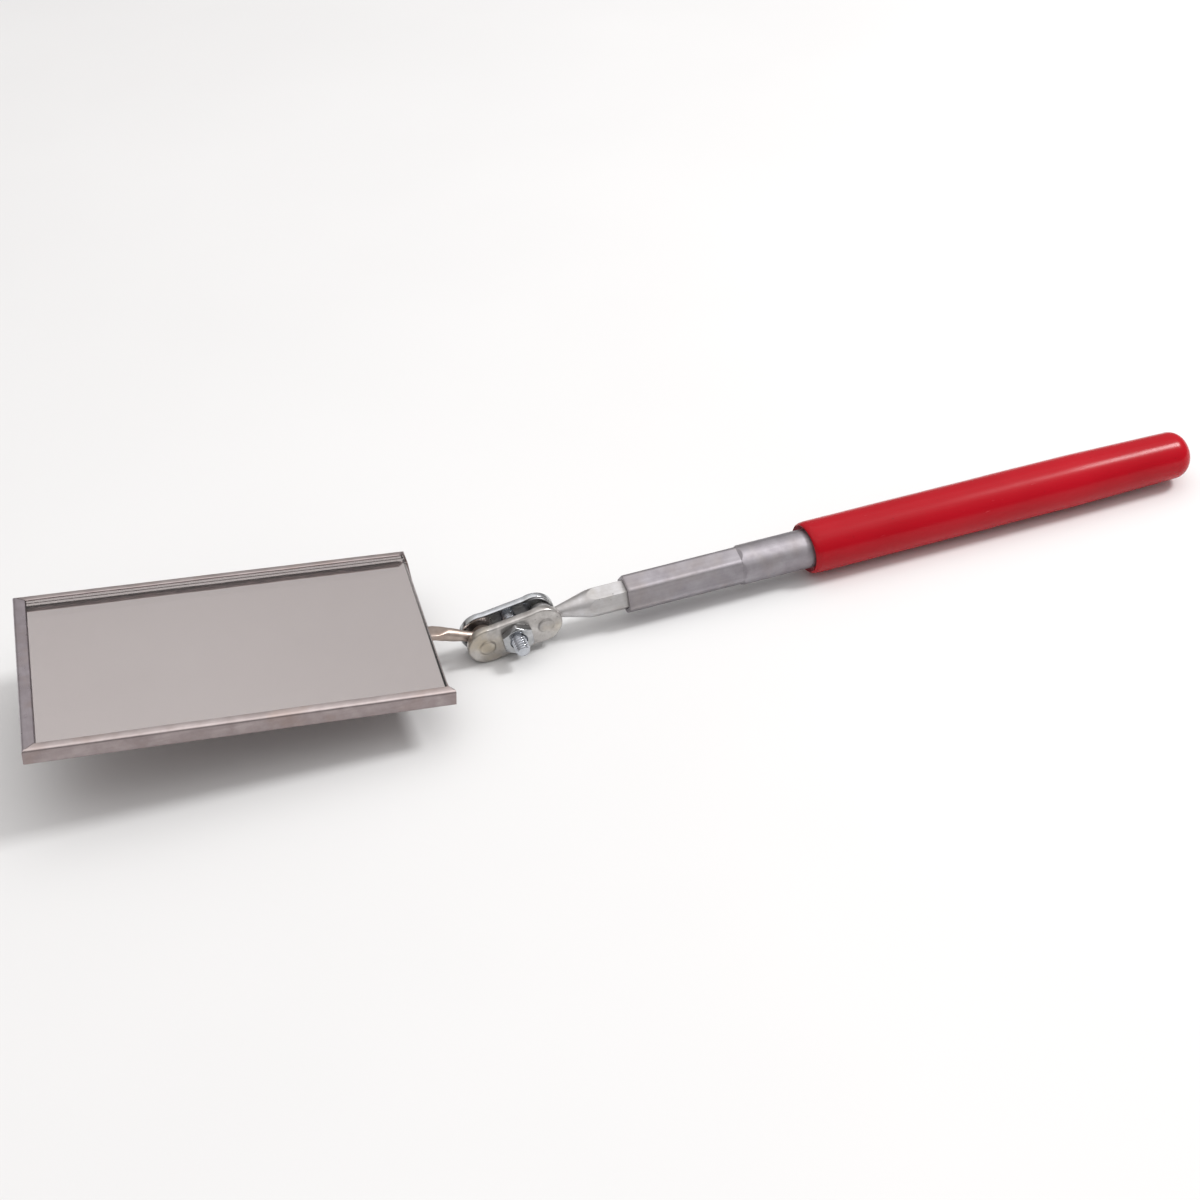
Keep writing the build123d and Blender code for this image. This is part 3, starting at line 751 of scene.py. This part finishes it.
def clamp_nut():
    count = NUT_SIDES
    flat = NUT_FLATS / 2 * NUT_FACE
    tilt = math.tan(NUT_TILT)
    bore = SCREW_R - RUNNING_GAP

    def outer(angle):
        return hex_radius(angle, NUT_FLATS - RUNNING_GAP, NUT_TURN, NUT_CORNER)

    def ring(radius, height):
        made = []
        for i in range(count):
            a = TURN * i / count + NUT_TURN
            made.append(Vector((radius(a) * math.cos(a), radius(a) * math.sin(a), height(a))))
        return made

    base, top = NUT_BASE, NUT_BASE + NUT_HEIGHT
    rings = [
        ring(lambda a: bore + NUT_BORE_GAP, lambda a: base + NUT_BACK_SINK),
        ring(lambda a: bore + 0.35, lambda a: base),
        ring(lambda a: flat, lambda a: base),
        ring(outer, lambda a: base + (outer(a) - flat) * tilt),
        ring(outer, lambda a: top - (outer(a) - flat) * tilt),
        ring(lambda a: flat, lambda a: top),
        ring(lambda a: bore + NUT_FRONT_SINK, lambda a: top),
        ring(lambda a: bore + NUT_BORE_GAP, lambda a: top - NUT_FRONT_SINK),
    ]
    obj = fix_normals(build("clamp_nut_hex", *skin(rings, closed=True), NEAR, 22))
    bevel = obj.modifiers.new("edge", "BEVEL")
    bevel.width = NUT_EDGE * MM
    bevel.segments = 2
    bevel.limit_method = "ANGLE"
    bevel.angle_limit = math.radians(24)
    return dress(obj, "nut", "nut", "fastener_zinc", "clamp_nut")


# ---------------------------------------------------------------- mirror head
def channel_profile(lip):
    """(inset, height, share of the lip) round the folded sheet: back, wall, lip, and back inside."""
    slope = math.atan2(LIP_RISE, lip)
    outline = [(BACK_REACH, 0.0, 0.0)]
    outline += [(BEND * (1 - math.sin(b)), BEND * (1 - math.cos(b)), 0.0)
                for b in np.linspace(0, math.pi / 2, 5)]
    turn = math.pi / 2 - slope
    fold_start = FRAME_WALL - FOLD_R * math.tan(turn / 2)
    outline += [(FOLD_R * (1 - math.cos(b)), fold_start + FOLD_R * math.sin(b), 0.3)
                for b in np.linspace(0, turn, 7)]
    top = FRAME_WALL + LIP_RISE
    edge = SHEET / 2
    outline += [(lip - edge * (1 - math.sin(b)), top - edge * (1 - math.cos(b)), 1.0)
                for b in np.linspace(0, math.pi, 9)]
    outline += [(SHEET + 0.15, FRAME_WALL - SHEET, 0.3), (SHEET, FRAME_WALL - SHEET - 0.15, 0.0)]
    outline += [(SHEET, SHEET + 0.12, 0.0), (SHEET + 0.12, SHEET, 0.0), (BACK_REACH, SHEET, 0.0)]
    return outline


def frame_strip(which):
    """One folded side of the frame, from its mitre to its open end or other mitre."""
    half = FRAME_WIDTH / 2
    rings = []
    steps = 48
    end = which == "end"
    for k in range(steps + 1):
        t = k / steps
        ring = []
        for u, z, share in channel_profile(END_LIP if end else SIDE_LIP):
            lip = share > 0 and u > SHEET
            gap = SEAM if lip else 0.0
            if end:
                reach = half - (u * SIDE_LIP / END_LIP if lip else u) - gap
                point = Vector((-FRAME_LENGTH + u, -reach + 2 * reach * t, z))
            else:
                side = -1 if which == "near" else 1
                start = -FRAME_LENGTH + (u * END_LIP / SIDE_LIP if lip else u) + gap
                lean = FAR_CUT * min(1.0, z / FRAME_WALL) if which == "far" else 0.0
                stop = -lean - (LIP_CUT * u / SIDE_LIP if lip else 0.0)
                if u > 1 and not lip:
                    stop = -BACK_TRIM
                point = Vector((start + (stop - start) * t, side * (half - u), z))
            sway = math.sin(point.x * 0.21 + point.y * 0.17) + 0.5 * math.sin(point.x * 0.53 + 1.3)
            point.z += LIP_SWAY * sway * share
            ring.append(point)
        rings.append(ring)
    return rings


def mirror_frame():
    points, faces = [], []
    for which in ("near", "end", "far"):
        p, f = skin(frame_strip(which))
        around = len(channel_profile(SIDE_LIP))
        f += [tuple(range(around)), tuple(range(len(p) - around, len(p)))]
        base = len(points)
        points += p
        faces += [tuple(i + base for i in face) for face in f]
    half = FRAME_WIDTH / 2 - BACK_REACH
    base = len(points)
    points += box_corners((-FRAME_LENGTH + BACK_REACH, -BACK_TRIM), (-half, half), (0.0, SHEET))
    faces += [tuple(i + base for i in face) for face in BOX_FACES]
    obj = fix_normals(build("mirror_frame_channel", points, faces, HEAD, 38))
    dress(obj, "wall", "mirror_head", "frame_steel", "mirror_frame")
    obj.data.materials.append(MATERIALS["lip"])
    obj.data.materials.append(MATERIALS["end_lip"])
    # Up-facing lip faces take the lighter steel and the end lip its own tone, painted light on one sheet;
    # the walls keep the darker, painted-shade tone.
    for face in obj.data.polygons:
        at = HEAD_INV @ face.center
        if at.z < FRAME_WALL - 0.6:
            continue
        mitre = (FRAME_WIDTH / 2 - abs(at.y)) * END_LIP / SIDE_LIP
        if at.x + FRAME_LENGTH < mitre:
            face.material_index = 2
        elif face.normal.dot(head_up) > 0.6:
            face.material_index = 1
    return obj


def slab(name, length, width, low, high, material, slot, *nodes, edge=0.12):
    """A flat sheet centred on the glass, with softened edges."""
    x0, x1 = glass_mid_x - length / 2, glass_mid_x + length / 2
    corners = box_corners((x0, x1), (-width / 2, width / 2), (low, high))
    obj = fix_normals(build(name, corners, BOX_FACES, HEAD))
    if edge:
        bevel = obj.modifiers.new("edge", "BEVEL")
        bevel.width = edge * MM
        bevel.segments = 2
    return dress(obj, material, "mirror_head", slot, *nodes)


def mirror_stem():
    """A round rod from the ball, pressed flat and bent level under the frame's back."""
    ball_local = HEAD_INV @ (STEM_BALL * MM)
    bend = Vector((STEM_BEND_X, 0, -PADDLE_THICK / 2))
    out = bend - ball_local
    length = out.length
    out.normalize()
    rings = []
    count = STEM_SIDES
    stations = [BALL_OVERLAP, 3.3, 4.0, STEM_NECK, STEM_NECK + STEM_NECK_TAPER, length - STEM_FLAT]
    stations += [length - STEM_FLAT * (1 - k / 10) for k in range(1, 11)]
    stations += [length + STEM_STEP * k for k in range(1, int(PADDLE_LENGTH / STEM_STEP) + 1)]
    end = stations[-1]
    for s in stations:
        t = max(0.0, min(1.0, (s - (length - STEM_FLAT)) / STEM_FLAT))
        t = t * t * (3 - 2 * t)
        neck = max(0.0, min(1.0, (s - STEM_NECK) / STEM_NECK_TAPER))
        r = STEM_NECK_R + (STEM_R - STEM_NECK_R) * neck
        wide = r + (PADDLE_WIDTH / 2 - r) * t
        thick = r + (PADDLE_THICK / 2 - 0.01 - r) * t
        if s > end - PADDLE_TIP:
            wide *= math.sqrt(max(0.03, 1 - ((s - end + PADDLE_TIP) / (PADDLE_TIP + 0.02)) ** 2))
        turn = max(0.0, min(1.0, (s - length + STEM_STEP) / (2 * STEM_STEP)))
        heading = out.lerp(Vector((-1, 0, 0)), turn).normalized()
        centre = ball_local + out * s if s <= length else bend + Vector((-(s - length), 0, 0))
        up = heading.cross(Vector((0, 1, 0))).normalized()
        up = up if up.z > 0 else -up
        power = 1 + PADDLE_SQUARE * t
        ring = []
        for i in range(count):
            a = TURN * i / count
            c, d = math.cos(a), math.sin(a)
            c = math.copysign(abs(c) ** (1 / power), c)
            d = math.copysign(abs(d) ** (1 / power), d)
            ring.append(centre + Vector((0, 1, 0)) * (wide * c) + up * (thick * d))
        rings.append(ring)
    shape = skin(rings, start_cap=True, end_cap=True)
    return dress(fix_normals(build("mirror_stem_rod", *shape, HEAD, 45)),
                 "stem", "mirror_head", "stem_nickel", "mirror_stem")


outer_tube()
telescoping_rod()
grip()
ball("rod_ball_steel", ROD_BALL, "rod", "rod_end_ball", "rod_steel", "rod_ball")
ball("stem_ball_steel", STEM_BALL, "stem", "stem_end_ball", "stem_nickel", "stem_ball")
clamp_plate("near_plate_pressing", NEAR, "plate", "near_clamp_plate", NEAR_PLATE_SHIFT)
clamp_plate("far_plate_pressing", FAR, "far_plate", "far_clamp_plate", FAR_PLATE_SHIFT)
clamp_screw()
clamp_nut()
mirror_frame()
mirror_stem()
glass_low = GLASS_BASE + SILVER + 0.01
slab("mirror_glass_sheet", GLASS_LENGTH - 0.02, GLASS_WIDTH - 0.02, glass_low, GLASS_BASE + GLASS_THICK,
     "glass", "mirror_glass", "mirror_glass")
slab("mirror_silvering", GLASS_LENGTH - 0.1, GLASS_WIDTH - 0.1, GLASS_BASE + 0.005, GLASS_BASE + SILVER,
     "silver", "mirror_glass", edge=0)
for node, material in (("backing_pad", "felt"), ("rod_stop_bush", "bush"), ("friction_ring", "spring")):
    slots = frame["nodes"][node].data.materials
    slots.clear()
    slots.append(MATERIALS[material])

# ---------------------------------------------------------------- floor, light and camera
FLOOR_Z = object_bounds()[0][2]
FLOOR_SIZE = 4.0


def floor():
    n = Nodes("floor_paper")
    tone = n.ramp(n.noise(8, 3, 0.5), [(0.3, (0.79, 0.79, 0.79)), (0.7, (0.81, 0.81, 0.81))])
    n.link(tone, n.shader.inputs["Base Color"])
    n.shader.inputs["Roughness"].default_value = 0.9
    n.shader.inputs["Specular IOR Level"].default_value = 0.1
    mesh = bpy.data.meshes.new("floor")
    mesh.from_pydata([(x, y, FLOOR_Z) for x, y in ((-FLOOR_SIZE, -FLOOR_SIZE), (FLOOR_SIZE, -FLOOR_SIZE),
                                             (FLOOR_SIZE, FLOOR_SIZE), (-FLOOR_SIZE, FLOOR_SIZE))],
                     [], [(0, 1, 2, 3)])
    obj = bpy.data.objects.new("floor", mesh)
    obj.data.materials.append(n.material)
    bpy.context.scene.collection.objects.link(obj)


def softbox(name, at, target, size, power):
    data = bpy.data.lights.new(name, "AREA")
    data.shape = "RECTANGLE"
    data.size, data.size_y = size
    data.energy = power
    obj = bpy.data.objects.new(name, data)
    obj.location = at
    obj.rotation_euler = (Vector(target) - Vector(at)).to_track_quat("-Z", "Y").to_euler()
    bpy.context.scene.collection.objects.link(obj)


WORLD_LOW, WORLD_HIGH = 0.28, 0.88
WORLD_FADE = (0.12, 1.0)      # heights over which the surroundings brighten


def world():
    """Soft surroundings: dim at the horizon and brightest overhead."""
    made = bpy.data.worlds.new("studio")
    made.use_nodes = True
    tree = made.node_tree
    coords = tree.nodes.new("ShaderNodeTexCoord")
    split = tree.nodes.new("ShaderNodeSeparateXYZ")
    tree.links.new(coords.outputs["Generated"], split.inputs[0])
    fade = tree.nodes.new("ShaderNodeMapRange")
    fade.interpolation_type = "SMOOTHSTEP"
    sockets = ("From Min", "From Max", "To Min", "To Max")
    for socket, value in zip(sockets, (*WORLD_FADE, WORLD_LOW, WORLD_HIGH)):
        fade.inputs[socket].default_value = value
    tree.links.new(split.outputs["Z"], fade.inputs["Value"])
    background = tree.nodes["Background"]
    background.inputs["Color"].default_value = (1.0, 0.975, 0.965, 1)
    tree.links.new(fade.outputs["Result"], background.inputs["Strength"])
    bpy.context.scene.world = made


CAMERA_AT = (-0.18538, -0.35391, 0.27659)
CAMERA_AZIMUTH, CAMERA_DIP, CAMERA_ROLL = 15.611, 36.951, -4.759
CAMERA_LENS = 59.19


def camera():
    azimuth, dip, roll = map(math.radians, (CAMERA_AZIMUTH, CAMERA_DIP, CAMERA_ROLL))
    forward = Vector((math.sin(azimuth) * math.cos(dip), math.cos(azimuth) * math.cos(dip), -math.sin(dip)))
    level = forward.cross(Vector((0, 0, 1))).normalized()
    up = level.cross(forward)
    right = level * math.cos(roll) + up * math.sin(roll)
    up = right.cross(forward)
    data = bpy.data.cameras.new("camera")
    data.lens = CAMERA_LENS
    data.sensor_width = 36.0
    obj = bpy.data.objects.new("camera", data)
    obj.matrix_world = Matrix.Translation(CAMERA_AT) @ Matrix((right, up, -forward)).transposed().to_4x4()
    bpy.context.scene.collection.objects.link(obj)
    bpy.context.scene.camera = obj


floor()
world()
softbox("overhead", (0.10, -0.10, 1.30), (0.0, 0.0, 0.0), (2.2, 1.8), 6.0)
softbox("grip_glint", (0.68, -0.12, 0.88), (0.05, 0.0, 0.0), (0.26, 0.24), 7.0)
camera()
bpy.context.scene.view_settings.view_transform = "Standard"
